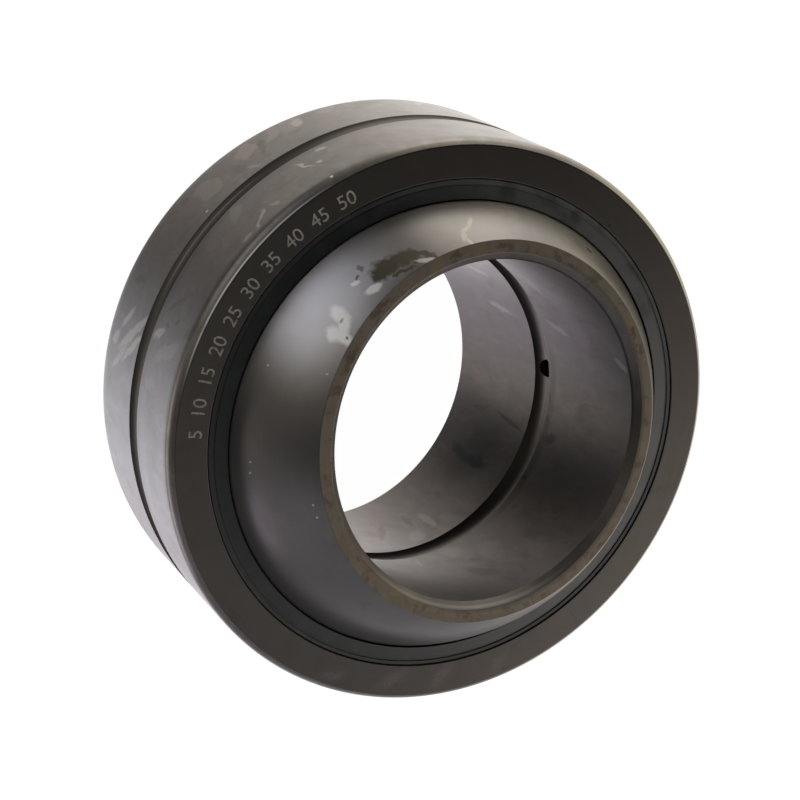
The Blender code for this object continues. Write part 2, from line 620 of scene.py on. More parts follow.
@dataclass(frozen=True)
class Lathe:
    """Tree that turns a section about Z, drills it, tilts it and gives each stretch its finish."""

    name: str
    finishes: Mapping[Zone, Material]
    around: int = 384
    side: int = 1
    tilt: float = 0.0
    holes: OilHoles | None = None
    fracture: Fracture | None = None

    MERGE = 0.001 * MM
    FILL_SCALE = 1000.0

    def piece(self, section: Section) -> Object:
        """Turns a section into a plain mesh object.

        Args:
            section: The closed section.

        Returns:
            The finished object, at the origin.
        """
        return run_tree(placed(self.name, self._section_mesh(section)), self._tree(), self._sizes())

    def _section_mesh(self, section: Section) -> Mesh:
        """Draws the section as a ring of edges in the XZ plane.

        Args:
            section: The closed section.

        Returns:
            The mesh, each of its points with the finish of the edge after it.
        """
        outline = section.outline()
        count = len(outline)
        mesh = bpy.data.meshes.new(self.name)
        corners = [(place.x, 0.0, place.y) for place, _ in outline]
        mesh.from_pydata(corners, [(index, (index + 1) % count) for index in range(count)], [])
        zones = mesh.attributes.new("zone", "INT", "POINT")
        zones.data.foreach_set("value", [zone.value for _, zone in outline])
        return mesh

    def _sizes(self) -> dict[str, Any]:
        """Gathers what the tree's named inputs are set to.

        Returns:
            The values, by name.
        """
        sizes: dict[str, Any] = {"Around": self.around, "Side": float(self.side), "Tilt": self.tilt}
        if self.holes:
            holes = self.holes
            sizes |= {"Hole azimuth": math.radians(holes.azimuth), "Hole radius": holes.diameter / 2}
            sizes |= {"Hole inside": holes.inside, "Hole outside": holes.outside}
        if self.fracture:
            sizes |= {"Gap": self.fracture.gap, "Raggedness": self.fracture.raggedness}
        return sizes

    def _tree(self) -> GeometryTree:
        """Builds the tree.

        Returns:
            The tree, which starts from the section's mesh.
        """
        tree = GeometryTree(f"{self.name}_lathe")
        section = tree.input("Section", "NodeSocketGeometry")
        around = tree.number("Around", "NodeSocketInt")
        count = Value(tree, tree.step("AttributeDomainSize", {0: section}))
        sides = {"Size X": around, "Size Y": count, "Vertices X": around + 1, "Vertices Y": count + 1}
        grid = tree.step("MeshGrid", sides)
        place = tree.triple("GeometryNodeInputPosition")
        across, along, _ = place.parts()
        column, row = across / around + 0.5, along + count / 2
        zone = tree.sampled(section, tree.named("zone"), row.wrapped(count).floor())
        stored = {"Geometry": grid, "Name": "zone", "Value": zone}
        zoned = tree.step("StoreNamedAttribute", stored, data_type="INT", domain="FACE")
        corner = tree.sampled(section, place, (row + 0.5).floor().wrapped(count))
        turned = tree.moved(zoned, tree.turned(corner, self._azimuth(tree, corner, column, around)))
        joined = tree.step("JoinGeometry", {0: [turned, *self._caps(tree, section, place)]})
        closed = tree.step("MergeByDistance", {0: joined, "Distance": self.MERGE})
        faced = tree.moved(self._drilled(tree, closed), place.times(tree.joined(1, 1, tree.number("Side"))))
        smooth = tree.step("SetShadeSmooth", {0: tree.tilted(faced)})
        shape = tree.step("RealizeInstances", {0: smooth})
        for kind, material in self.finishes.items():
            chosen = tree.named("zone").near(kind.value, 0.5)
            shape = tree.step("SetMaterial", {"Geometry": shape, "Selection": chosen, "Material": material})
        tree.output(shape)
        return tree

    def _azimuth(self, tree: GeometryTree, corner: Triple, column: Value, around: Value) -> Value:
        """Azimuth of a section's point in the ring, which a fracture leaves open and ragged.

        Args:
            tree: The tree.
            corner: The point.
            column: How far around the ring its column is, from 0 to 1.
            around: The count of columns.

        Returns:
            The angle, in radians.
        """
        if not self.fracture:
            return column * math.tau
        opening = self._opening(tree, corner)
        edge = (0.5 - (column - 0.5).size()) * around
        shift = self._wander(tree, corner) * edge.ramp(self.fracture.fade, 0)
        return opening + column * (math.tau - 2 * opening) + shift

    @staticmethod
    def _opening(tree: GeometryTree, corner: Triple) -> Value:
        """Half the angle that the fracture leaves open at a point of the section."""
        return tree.number("Gap") / (2 * corner.parts()[0])

    def _wander(self, tree: GeometryTree, corner: Triple) -> Value:
        """How far the fracture wanders at a point of the section, on both its sides alike.

        Args:
            tree: The tree.
            corner: The point.

        Returns:
            The angle, in radians.
        """
        crack = self.fracture
        noise = tree.noise(corner, 1 / crack.grain, crack.detail, {"Roughness": crack.roughness})
        return (noise - 0.5) * 2 * tree.number("Raggedness") / corner.parts()[0]

    def _caps(self, tree: GeometryTree, section: Any, place: Triple) -> list[Any]:
        """Fills the section twice, as the two faces of the fracture.

        Args:
            tree: The tree.
            section: The section's mesh.
            place: The place of each of its points.

        Returns:
            The two faces, or none where the ring is whole.
        """
        if not self.fracture:
            return []
        x, y, z = place.parts()
        curve = tree.step("MeshToCurve", {0: section})
        laid = tree.moved(curve, tree.joined(x, z, 0).grown(self.FILL_SCALE))
        filled = tree.step("FillCurve", {0: laid}, mode="TRIANGLES")
        corner = tree.joined(x, 0, y).grown(1 / self.FILL_SCALE)
        opening, wander = self._opening(tree, corner), self._wander(tree, corner)
        first = tree.moved(filled, tree.turned(corner, opening + wander))
        last = tree.moved(filled, tree.turned(corner, math.tau - opening + wander))
        return [tree.step("FlipFaces", {0: first}), last]

    def _drilled(self, tree: GeometryTree, shape: Any) -> Any:
        """Cuts the oil holes.

        Args:
            tree: The tree.
            shape: The turned shape.

        Returns:
            The shape with its holes, where it has any.
        """
        if not self.holes:
            return shape
        inside, outside = tree.number("Hole inside"), tree.number("Hole outside")
        azimuth = tree.number("Hole azimuth") + tree.value("GeometryNodeInputIndex") * math.pi
        middle = tree.turned(tree.joined((inside + outside) / 2, 0, 0), azimuth)
        spread = tree.moved(tree.step("Points", {"Count": 2}), middle)
        radius, depth = tree.number("Hole radius"), outside - inside
        drill = tree.step("MeshCylinder", {"Vertices": self.holes.facets, "Radius": radius, "Depth": depth})
        aimed = tree.node("FunctionNodeEulerToRotation", None, {0: tree.joined(0, math.pi / 2, azimuth)})
        places = {"Points": spread, "Instance": drill, "Rotation": aimed.outputs[0]}
        drills = tree.step("RealizeInstances", {0: tree.step("InstanceOnPoints", places)})
        cut = {"Mesh 1": shape, "Mesh 2": drills}
        return tree.step("MeshBoolean", cut, operation="DIFFERENCE", solver="EXACT")


def run_tree(piece: Object, tree: GeometryTree, sizes: Mapping[str, Any]) -> Object:
    """Runs a tree on an object and keeps the result as the object's own closed mesh.

    Args:
        piece: The object that holds what the tree starts from.
        tree: The tree.
        sizes: Values of its named inputs.

    Returns:
        The same object, with no modifier left.
    """
    modifier = piece.modifiers.new("tree", "NODES")
    modifier.node_group = tree.tree
    for item in tree.tree.interface.items_tree:
        if item.in_out == "INPUT" and item.name in sizes:
            modifier[item.identifier] = sizes[item.name]
    mesh = bpy.data.meshes.new_from_object(piece.evaluated_get(bpy.context.evaluated_depsgraph_get()))
    piece.modifiers.remove(modifier)
    piece.data = mesh
    for empty in reversed([index for index, material in enumerate(mesh.materials) if material is None]):
        mesh.materials.pop(index=empty)
    shape = bmesh.new()
    shape.from_mesh(mesh)
    bmesh.ops.recalc_face_normals(shape, faces=shape.faces)
    shape.to_mesh(mesh)
    shape.free()
    for attribute in [item for item in mesh.attributes if item.name == "zone"]:
        mesh.attributes.remove(attribute)
    mesh.set_sharp_from_angle(angle=SHARP_FROM)
    return piece


@dataclass(frozen=True)
class BearingSizes:
    """Sizes that the rings and the seals share."""

    ball_radius: float = 52.5 * MM
    outer_width: float = 45.0 * MM
    outer_wall: float = 7.5 * MM
    seat_width: float = 4.5 * MM
    seat_depth: float = 3.7 * MM
    snap_depth: float = 0.9 * MM
    snap_height: float = 1.7 * MM
    tilt: float = math.radians(7.3)
    ball_steps: int = 72

    @property
    def outer_half(self) -> float:
        """Half the outer ring's width."""
        return self.outer_width / 2

    @property
    def outside_radius(self) -> float:
        """Radius of the outer ring's outside."""
        return self.ball_radius + self.outer_wall

    @property
    def seat_radius(self) -> float:
        """Radius of the seal seat's wall."""
        return sphere_radius(self.ball_radius, self.outer_half) + self.seat_width

    @property
    def seat_floor(self) -> float:
        """Height of the seal seat's floor."""
        return self.outer_half - self.seat_depth


class Surface(Enum):
    """Surface that a mark lies on, at a height there, or on a flat face at a radius."""

    BALL = "ball"
    BORE = "bore"
    OUTSIDE = "outside"
    SIDE_FACE = "side face"
    END_FACE = "end face"


@dataclass(frozen=True)
class Mark:
    """Elliptical mark on a surface, in degrees and millimetres, which fades out towards its edge."""

    azimuth: float
    at: float
    length: float
    width: float
    turn: float = 0.0
    strength: float = 1.0
    softness: float = 0.7

    DEPTH = 5.0

    def middle(self, surface: Surface, sizes: BearingSizes) -> tuple[Vector, Vector]:
        """Middle of the mark and the surface's outward direction there.

        Args:
            surface: What it lies on.
            sizes: The bearing's sizes.

        Returns:
            The place in metres, and the unit normal.
        """
        turn, at = math.radians(self.azimuth), self.at * MM
        spoke = Vector((math.cos(turn), math.sin(turn), 0.0))
        if surface is Surface.BALL:
            place = spoke * sphere_radius(sizes.ball_radius, at) + UP * at
            return place, place.normalized()
        if surface is Surface.BORE:
            return spoke * InnerRing().bore / 2 + UP * at, -spoke
        if surface is Surface.OUTSIDE:
            return spoke * sizes.outside_radius + UP * at, spoke
        if surface is Surface.SIDE_FACE:
            return spoke * at + UP * sizes.outer_half, UP
        return spoke * at + UP * InnerRing().width / 2, UP

    def mask(self, paint: Paint, place: Triple, surface: Surface, sizes: BearingSizes) -> Value:
        """Where the mark shows.

        Args:
            paint: The material's graph.
            place: The piece's own coordinates, shifted so that the mark's edge is ragged.
            surface: What it lies on.
            sizes: The bearing's sizes.

        Returns:
            Its strength inside, falling to 0 at its edge.
        """
        middle, normal = self.middle(surface, sizes)
        around = UP.cross(middle).normalized()
        axes = Matrix((around, normal.cross(around), normal)).transposed()
        turned = axes @ Matrix.Rotation(math.radians(self.turn), 3, "Z")
        spread = Vector((self.length, self.width, self.DEPTH)) * MM
        inputs = {"Vector": place, "Location": middle, "Rotation": turned.to_euler(), "Scale": spread}
        mapped = paint.triple("ShaderNodeMapping", {"vector_type": "TEXTURE"}, inputs)
        edge = mapped.length().ramp(1 + self.softness / 2, 1 - self.softness / 2)
        return edge if self.strength == 1.0 else edge * self.strength


@dataclass(frozen=True)
class Film:
    """What lies on a surface in ragged marks, such as grease, rust or a rubbed spot, or painted light laid
    on in the same way.

    A row holds one mark's values, in the order of the fields of Mark.
    """

    colour: Colour
    rows: tuple[tuple[float, ...], ...]
    roughness: float = 0.4
    metallic: float = 0.6
    ragged: float = 0.8
    grain: float = 2.0

    DETAIL = 3.0
    CENTRING = (-0.5, -0.5, -0.5)

    def share(self, paint: Paint, surface: Surface, sizes: BearingSizes) -> Value:
        """Where the film shows.

        Args:
            paint: The material's graph.
            surface: What it lies on.
            sizes: The bearing's sizes.

        Returns:
            Its share of the finish, from 0 to 1.
        """
        inputs = {"Vector": paint.place, "Scale": 1 / (self.grain * MM), "Detail": self.DETAIL}
        noise = Triple(paint, paint.node("ShaderNodeTexNoise", None, inputs).outputs["Color"])
        place = paint.place.plus(noise.plus(self.CENTRING).grown(2 * self.ragged * MM))
        masks = [Mark(*row).mask(paint, place, surface, sizes) for row in self.rows]
        share = masks[0]
        for mask in masks[1:]:
            share = share.most(mask)
        return share


@dataclass(frozen=True)
class Mottle:
    """Blotches all over a surface, from soft noise. Sizes in millimetres."""

    colour: Colour
    size: float
    start: float
    full: float
    strength: float = 1.0
    stretch: tuple[float, float, float] = (1.0, 1.0, 1.0)
    shine: float = 0.0

    DETAIL = 4.0
    SHAPE = {"Roughness": 0.62, "Distortion": 0.4}

    def share(self, paint: Paint) -> Value:
        """Where the blotches show.

        Args:
            paint: The material's graph.

        Returns:
            Their share of the finish, from 0 to 1.
        """
        stretched = paint.place.times(self.stretch)
        noise = paint.noise(stretched, 1 / (self.size * MM), self.DETAIL, self.SHAPE)
        return noise.ramp(self.start, self.full) * self.strength


@dataclass(frozen=True)
class PaintedEdgeLight:
    """Painted highlight or painted shade along an edge that runs around a ring, at a radius and height in
    millimetres.
    """

    radius: float
    height: float
    width: float
    colour: Colour
    azimuth: float = 0.0
    reach: float = 180.0
    strength: float = 1.0

    CORE = 0.3
    ALL_ROUND = 180.0

    def share(self, paint: Paint) -> Value:
        """Where the line shows: fully in its core and within half its reach of its azimuth.

        Args:
            paint: The material's graph.

        Returns:
            Its share of the finish, from 0 to 1.
        """
        _, _, radius, height = paint.round
        across, up = radius - self.radius * MM, height - self.height * MM
        away = (across * across + up * up).root()
        near = away.ramp(self.width * MM, self.width * MM * self.CORE) * self.strength
        if self.reach >= self.ALL_ROUND:
            return near
        reach = math.radians(self.reach)
        return near * paint.facing(self.azimuth).ramp(math.cos(reach), math.cos(reach / 2))


@dataclass(frozen=True)
class Steel:
    """Finish of a dark phosphated steel surface, what has happened to it, and highlights and shade painted
    on it.
    """

    name: str
    colour: Colour
    roughness: float = 0.36
    metallic: float = 0.6
    surface: Surface = Surface.OUTSIDE
    mottles: tuple[Mottle, ...] = ()
    lines: tuple[PaintedEdgeLight, ...] = ()
    films: tuple[Film, ...] = ()
    grain_spacing: float = 0.25
    grain_wander: float = 40.0
    grain_depth: float = 0.004
    grain_shade: float = 0.12

    GRAIN_SHAPE = {"Roughness": 0.6}

    def material(self, sizes: BearingSizes, tilt: float = 0.0) -> Material:
        """Builds the material.

        Args:
            sizes: The bearing's sizes.
            tilt: How far the piece is turned about X.

        Returns:
            The node-based material.
        """
        paint = Paint(self.name, self.colour, tilt)
        grain = paint.lines(self.grain_spacing, self.grain_wander, self.GRAIN_SHAPE)
        shade = 1.0 + (grain - 0.5) * (2 * self.grain_shade)
        colour = paint.base.times(paint.joined(shade, shade, shade))
        roughness: Number = self.roughness
        metallic: Number = self.metallic
        for mottle in self.mottles:
            share = mottle.share(paint)
            colour = colour.mixed(mottle.colour, share)
            roughness = share * mottle.shine + roughness if mottle.shine else roughness
        # Painted highlights and painted shade along edges.
        for line in self.lines:
            colour = colour.mixed(line.colour, line.share(paint))
        for film in self.films:
            share = film.share(paint, self.surface, sizes)
            colour = colour.mixed(film.colour, share)
            roughness = share * (film.roughness - self.roughness) + roughness
            metallic = share * (film.metallic - self.metallic) + metallic
        inputs = {"Base Color": colour, "Roughness": roughness, "Metallic": metallic}
        return paint.finished(inputs, grain, self.grain_depth)


@dataclass(frozen=True)
class Rubber:
    """Finish of the dark, slightly glossy lip seals, with a dusty haze, and a painted sheen mottled by that
    haze which lightens the side facing one azimuth.
    """

    name: str = "seal_rubber_look"
    colour: Colour = (0.013, 0.0155, 0.018)
    roughness: float = 0.34
    roughness_range: float = 0.1
    haze: Colour = (0.032, 0.036, 0.042)
    haze_strength: float = 0.6
    haze_grain: float = 220.0
    haze_detail: float = 4.0
    haze_span: Span = (0.45, 0.75)
    dull_span: Span = (0.3, 0.7)
    # Painted sheen: its colour, the azimuth it faces, how far round it reaches, and how the haze breaks it
    # up.
    side_sheen: Colour = (0.05, 0.055, 0.058)
    sheen_azimuth: float = 98.0
    sheen_side: Span = (0.3, 1.0)
    sheen_span: Span = (0.25, 0.55)
    line_spacing: float = 1 / 6
    line_wander: float = 60.0
    line_depth: float = 0.006

    def material(self, tilt: float) -> Material:
        """Builds the material.

        Args:
            tilt: How far the seals are turned about X.

        Returns:
            The node-based material.
        """
        paint = Paint(self.name, self.colour, tilt)
        haze = paint.noise(paint.place, self.haze_grain, self.haze_detail)
        hazy = paint.base.mixed(self.haze, haze.ramp(*self.haze_span) * self.haze_strength)
        # Painted sheen on the side that faces one azimuth, mottled by the haze.
        side_sheen = paint.facing(self.sheen_azimuth).ramp(*self.sheen_side) * haze.ramp(*self.sheen_span)
        roughness = haze.ramp(*self.dull_span) * self.roughness_range + self.roughness
        inputs = {"Base Color": hazy.mixed(self.side_sheen, side_sheen), "Roughness": roughness}
        return paint.finished(inputs, paint.lines(self.line_spacing, self.line_wander), self.line_depth)


@dataclass(frozen=True)
class Etching:
    """Finish of the pale etched numbers, with the uneven frost of an etched stroke."""

    name: str = "etched_numbers"
    colour: Colour = (0.5, 0.48, 0.45)
    bare: Colour = (0.25, 0.24, 0.22)
    roughness: float = 0.55
    roughness_range: float = 0.2
    frost_grain: float = 2500.0
    frost_detail: float = 3.0
    bare_span: Span = (0.45, 0.7)
    dull_span: Span = (0.3, 0.8)

    def material(self) -> Material:
        """Builds the material.

        Returns:
            The node-based material.
        """
        paint = Paint(self.name, self.colour)
        frost = paint.noise(paint.place, self.frost_grain, self.frost_detail)
        roughness = frost.ramp(*self.dull_span) * self.roughness_range + self.roughness
        colour = paint.base.mixed(self.bare, frost.ramp(*self.bare_span))
        return paint.finished({"Base Color": colour, "Roughness": roughness})


# Painted pale reflection for the ball.
PAINTED_PALE_REFLECTION = (0.46, 0.465, 0.52)
# Painted warm light for the ball under the upper seal.
PAINTED_WARM_LIGHT = (0.34, 0.325, 0.295)
PALE_SMEAR = (0.66, 0.67, 0.71)
CHALK = (0.25, 0.24, 0.228)
DRIED_OIL = (0.05, 0.043, 0.031)
RUST = (0.055, 0.038, 0.026)
TAN = (0.12, 0.098, 0.068)
BLUE_BLACK = (0.008, 0.009, 0.014)
SOOT = (0.055, 0.051, 0.048)

# Rows: azimuth, height or radius, length, width, then turn, strength and softness where they aren't plain.
BALL_FILMS = (
    # Painted pale reflection on the ball, strong at azimuth -166 and faint at -32.
    Film(PAINTED_PALE_REFLECTION, ragged=1.5, grain=6.0, rows=(
        (-166, 28.5, 15, 9, 0, 0.8, 1.4), (-32, 28, 12, 7, 0, 0.3, 1.4),
    )),
    # Painted light on the ball just below the upper seal, which lifts the seal's shade there.
    Film(PAINTED_WARM_LIGHT, ragged=2.0, grain=6.0, rows=(
        (118, 27, 22, 5.4, 0, 0.8, 1.7), (122, 23.6, 28, 3.6, 0, 0.8, 1.5),
    )),
    Film(DRIED_OIL, roughness=0.5, metallic=0.4, ragged=1.4, grain=1.7, rows=(
        (177.9, 31.6, 3.1, 2.1, -18), (172.3, 32.3, 3.5, 1.7, -23), (167.8, 33.2, 2.6, 0.9, -43),
        (-179.2, 31.8, 1.6, 1.4, -81), (175, 34, 2.7, 0.5, -16), (166, 34.3, 1.8, 0.3, -62),
        (-177.5, 28.6, 0.8, 0.6, 61, 0.6), (-174.9, 29.5, 0.5, 0.4, 50, 0.8),
    )),
    Film(PALE_SMEAR, ragged=0.9, grain=2.4, rows=(
        (-164.4, 30.9, 1.9, 1.5, 71, 1, 0.9), (-162.4, 32.8, 2.6, 1.2, 25, 1, 0.9),
        (-159.4, 33.6, 2, 1.2, 78, 1, 0.9), (-159.4, 32, 1.7, 1.3, 78, 1, 0.9),
        (-175.3, 32.9, 1.9, 0.7, -14), (-173.7, 30, 1, 0.5, -39), (168.6, 34.3, 1.9, 0.5, -24, 0.5),
    )),
    Film(CHALK, roughness=0.45, ragged=0.3, grain=0.9, rows=(
        (149.7, 30.8, 1.3, 0.4, 54, 1, 0.9), (152.1, 32, 1.3, 0.4, 23, 1, 0.9),
        (153.9, 33.2, 1.3, 0.5, 63, 1, 0.9), (153.3, 34.4, 1, 0.35, -72, 1, 0.9),
    )),
    Film(SOOT, roughness=0.5, ragged=0.4, grain=0.7, rows=(
        (109, 30.8, 0.8, 0.55), (94, 32.5, 0.4, 0.3), (-160, 34.2, 0.35, 0.35, 0, 0.7),
        (-163.4, 32, 0.6, 0.3, 0, 0.5),
    )),
    Film((0.4, 0.39, 0.37), ragged=0.1, grain=0.5, rows=(
        (-111.4, 33.2, 0.25, 0.25), (-107.6, 33.3, 0.25, 0.25), (-121.9, 22.2, 0.3, 0.2, -65),
        (-119.2, 22, 0.3, 0.2, -63), (-145.6, 23.3, 0.3, 0.2, -78), (-148.7, 33.8, 0.3, 0.2, -72),
    )),
)

BORE_FILMS = (
    Film((0.215, 0.208, 0.213), ragged=0.9, grain=2.2, rows=(
        (95.6, -15, 4.4, 0.7, 78), (78.6, -13.2, 4.2, 0.7, 80), (96.5, 9, 2.4, 1.2, 25, 0.7),
        (77.6, 9.5, 3.6, 0.8, 75, 0.8), (-12.9, -12.1, 4.5, 0.9, 84, 0.7), (-22, -7.5, 3.3, 1.8, 65, 0.6),
        (-20.4, 7.8, 4.6, 2, -78, 0.6), (-12, 14, 5, 2.4, 80, 0.4),
    )),
    Film(CHALK, roughness=0.45, ragged=0.5, grain=1.0, rows=(
        (71, 31, 2, 0.8, 55), (-48, 3.6, 1.6, 0.5, 17, 0.7), (-46.4, -3.2, 1.1, 0.4, 84, 0.7),
        (-35.1, 6.8, 2.2, 0.35, 73, 0.9),
    )),
    Film((0.098, 0.086, 0.084), ragged=1.6, grain=2.4, rows=(
        (-22.8, 19.8, 4.4, 1.5, -68), (-30, -15, 5, 0.7, 60), (-18, -16, 4, 0.6, 82),
    )),
    Film((0.035, 0.032, 0.03), roughness=0.5, ragged=1.5, grain=3.0, rows=(
        (22, -17, 9.5, 6.5, -45, 0.8, 1.4),
    )),
    Film(BLUE_BLACK, roughness=0.55, metallic=0.3, ragged=1.1, grain=1.8, rows=(
        (16.7, -15.2, 4.1, 1.5, -89), (17.9, -22.4, 4.7, 1.2, 73, 0.8),
        (18.9, -23.2, 2.4, 0.9, 64, 0.8, 1.2),
    )),
    Film(SOOT, ragged=0.6, grain=1.0, rows=(
        (35.7, -10, 5.1, 0.5, 80), (35.1, -22.9, 5, 0.7, -65, 0.6), (36.4, -23.7, 2, 0.5, -79, 0.7),
        (49.5, 3.6, 1.5, 0.4, 9, 0.8), (41.3, 4, 1.1, 0.4, 24), (18.8, 3.9, 0.9, 0.6, -89),
        (35, -25, 7, 3.5, 85, 0.4, 1.4),
    )),
    Film((0.07, 0.065, 0.062), ((35.1, 6.4, 2.3, 1.2, -80),), ragged=0.7, grain=1.1),
)

END_FACE_FILMS = (
    Film(RUST, roughness=0.5, ragged=1.1, grain=1.4, rows=(
        (159, 37.9, 1.5, 0.6, 0, 0.8), (143, 37.8, 1.2, 0.6, 0, 0.7), (122, 37.2, 1, 0.5, 0, 0.7),
        (116, 37.1, 0.9, 0.5, 0, 0.7), (82, 37.8, 1.6, 0.5, 0, 0.8), (76, 38.2, 1.3, 0.5, 0, 0.7),
        (105.4, 38.4, 0.9, 0.5, 0, 0.6), (-172, 38.2, 2.6, 0.7, 0, 0.7), (-155, 37.4, 3, 0.7, 0, 0.6),
    )),
    Film(TAN, roughness=0.5, ragged=0.8, grain=1.5, rows=(
        (-54.7, 38.2, 3.6, 0.6), (-70, 38.3, 3, 0.7), (-95.8, 38.2, 3.4, 0.7),
        (-36, 38.4, 6.1, 0.6, 0, 0.8), (-8, 38.6, 5.3, 0.5, 0, 0.8),
    )),
)

SIDE_FACE_FILMS = (
    Film((0.012, 0.011, 0.01), ((105, 52.9, 0.6, 0.5),), roughness=0.5, ragged=0.2, grain=0.6),
    Film((0.12, 0.11, 0.1), ragged=1.6, grain=1.8, rows=(
        (-34, 54.8, 3, 1.2, 50, 0.35, 1.4), (-46, 55.2, 3.4, 1.4, 30, 0.35, 1.4),
        (-60, 56.5, 3, 1, 20, 0.35, 1.4), (-20, 55.8, 3.6, 1.2, 40, 0.3, 1.4),
    )),
)

OUTSIDE_FILMS = (
    Film((0.2, 0.188, 0.184), ragged=3.0, grain=4.4, rows=(
        (176.4, -15.5, 4.2, 2.6, 69, 1, 0.35), (169.9, -16.3, 3.8, 1.6, 73, 0.9),
        (166.3, -16.6, 4.2, 2.6, 63, 0.8), (178.3, -6.1, 1.8, 1.1, -83, 1, 0.4),
        (-172.7, -12.2, 4.8, 2.6, 82, 0.75, 0.35), (-171.4, 6.6, 3.2, 1.8, 71, 0.6, 0.5),
        (156.8, -18.6, 2.5, 1.5, 72, 0.7), (-142.6, 12.6, 5.6, 1.6, -62, 0.8, 0.5),
        (150, 9.5, 5.1, 1.2, -34, 0.5),
    )),
    Film((0.32, 0.31, 0.3), ragged=1.1, grain=2.0, rows=(
        (-143, -12.7, 3.1, 0.8, -40, 0.8), (-141.1, -7.8, 7.7, 1.2, -50, 0.8),
        (-138.5, -6.1, 5.6, 0.9, -48, 0.8), (-138, -16.6, 2.1, 1.1, -54, 0.7),
        (-135.5, -12, 4.8, 0.8, -46, 0.6), (-144.7, 5.7, 2.6, 0.9, -60, 0.8),
        (-173.4, 16.7, 3.1, 0.5, 46, 0.8), (-169.3, 18.2, 1.2, 0.6, -8, 0.6),
        (-177.4, 15.9, 1.2, 0.6, -77, 0.5), (167.6, 4.9, 1.4, 0.9, -21, 0.8), (172.8, 8.7, 2.9, 0.3, -72),
        (170.3, 10.9, 0.8, 0.5, 86), (164.4, -15.8, 2.8, 1.2, 75, 0.8), (136.3, -18.2, 4.2, 1, 59, 0.5),
    )),
    Film((0.088, 0.082, 0.078), ragged=0.9, grain=1.6, rows=(
        (173.7, -12.4, 4.7, 0.8, 74, 0.8), (-168.1, -16.6, 1.6, 1, 89, 0.7),
        (-179.7, -9.4, 3.4, 1.2, -80, 0.5), (-147.1, 8.2, 1, 0.5, -78), (-148.5, 11.9, 1, 0.5, -65),
        (-151.1, 7.9, 3.4, 0.6, -53, 0.8), (-149, 20, 3, 1.1, -43, 0.8),
        (-150.6, -14.3, 2.6, 0.9, -79, 0.8),
    )),
    Film((0.6, 0.6, 0.58), ((-169, -4.9, 0.35, 0.25), (171.9, 20.9, 0.35, 0.3)), ragged=0.1, grain=0.5),
)

BALL_MOTTLES = (
    Mottle((0.1, 0.094, 0.09), 9.0, 0.5, 0.72, 0.5, shine=0.05),
    Mottle((0.15, 0.143, 0.148), 6.0, 0.52, 0.75, 0.4),
)
BORE_MOTTLES = (
    Mottle((0.092, 0.084, 0.078), 7.0, 0.48, 0.7, 0.7, (1.0, 1.0, 0.6), 0.06),
    Mottle((0.165, 0.157, 0.157), 5.0, 0.52, 0.72, 0.5, (1.0, 1.0, 0.5)),
    Mottle((0.155, 0.132, 0.138), 3.0, 0.5, 0.66, 0.7, (1.0, 1.0, 0.4)),
)
END_FACE_MOTTLES = (
    Mottle(RUST, 2.6, 0.48, 0.7, 0.75, shine=0.1),
    Mottle((0.075, 0.066, 0.05), 1.5, 0.52, 0.66, 0.5),
    Mottle((0.14, 0.11, 0.075), 6.0, 0.48, 0.68, 0.7),
)
OUTSIDE_MOTTLES = (
    Mottle((0.1, 0.093, 0.088), 8.0, 0.48, 0.72, 0.6, shine=0.05),
    Mottle((0.155, 0.147, 0.144), 4.0, 0.53, 0.75, 0.4),
    Mottle((0.165, 0.157, 0.154), 3.2, 0.5, 0.66, 0.55, (1.0, 1.0, 0.45)),
    Mottle((0.086, 0.081, 0.078), 4.0, 0.5, 0.66, 0.55),
)
SIDE_FACE_MOTTLES = (
    Mottle((0.073, 0.064, 0.054), 5.0, 0.48, 0.72, 0.6, shine=0.05),
    Mottle((0.105, 0.098, 0.088), 3.0, 0.54, 0.76, 0.4),
)

# Painted shade beside the bore groove's near edge and along the bore's edge at its upper chamfer, and a
# painted highlight on that chamfer.
BORE_SHADE_AND_HIGHLIGHT = (
    PaintedEdgeLight(35.0, 4.2, 1.6, (0.055, 0.05, 0.046), 33.0, 44.0, 0.45),
    PaintedEdgeLight(35.1, 33.6, 0.5, (0.03, 0.028, 0.025), 100.0, 60.0, 0.8),
    PaintedEdgeLight(36.0, 34.5, 0.5, (0.24, 0.225, 0.215), -45.0, 50.0, 0.6),
)
# Painted highlight along the bore groove's rounded near edge.
BORE_GROOVE_HIGHLIGHT = (PaintedEdgeLight(35.8, 1.8, 2.8, (0.34, 0.33, 0.32), 45.0, 130.0, 0.95),)
# Painted shade along the end face's inner edge at the bore chamfer.
END_FACE_EDGE_SHADE = (PaintedEdgeLight(36.5, 35.0, 1.1, (0.055, 0.046, 0.037), 40.0, 110.0, 0.7),)
# Painted highlight along the outer ring's chamfer edge, on the side face and the outside.
RIM_HIGHLIGHT = PaintedEdgeLight(58.9, 22.3, 0.24, (0.62, 0.63, 0.7), -163.0, 26.0, 0.75)
# Painted chamfer highlight, and painted shade along the outside's edge at the groove, all round.
OUTSIDE_HIGHLIGHT_AND_SHADE = (RIM_HIGHLIGHT, PaintedEdgeLight(60.0, 2.5, 3.4, (0.075, 0.07, 0.067), strength=0.6))
# Painted shade inside the outside groove's upper edge, and a painted highlight along its lower edge.
GROOVE_SHADE_AND_HIGHLIGHT = (
    PaintedEdgeLight(59.4, 2.0, 1.4, (0.09, 0.085, 0.083), strength=0.7),
    PaintedEdgeLight(59.3, -1.7, 0.2, (0.2, 0.19, 0.185), -166.0, 16.0, 0.4),
)

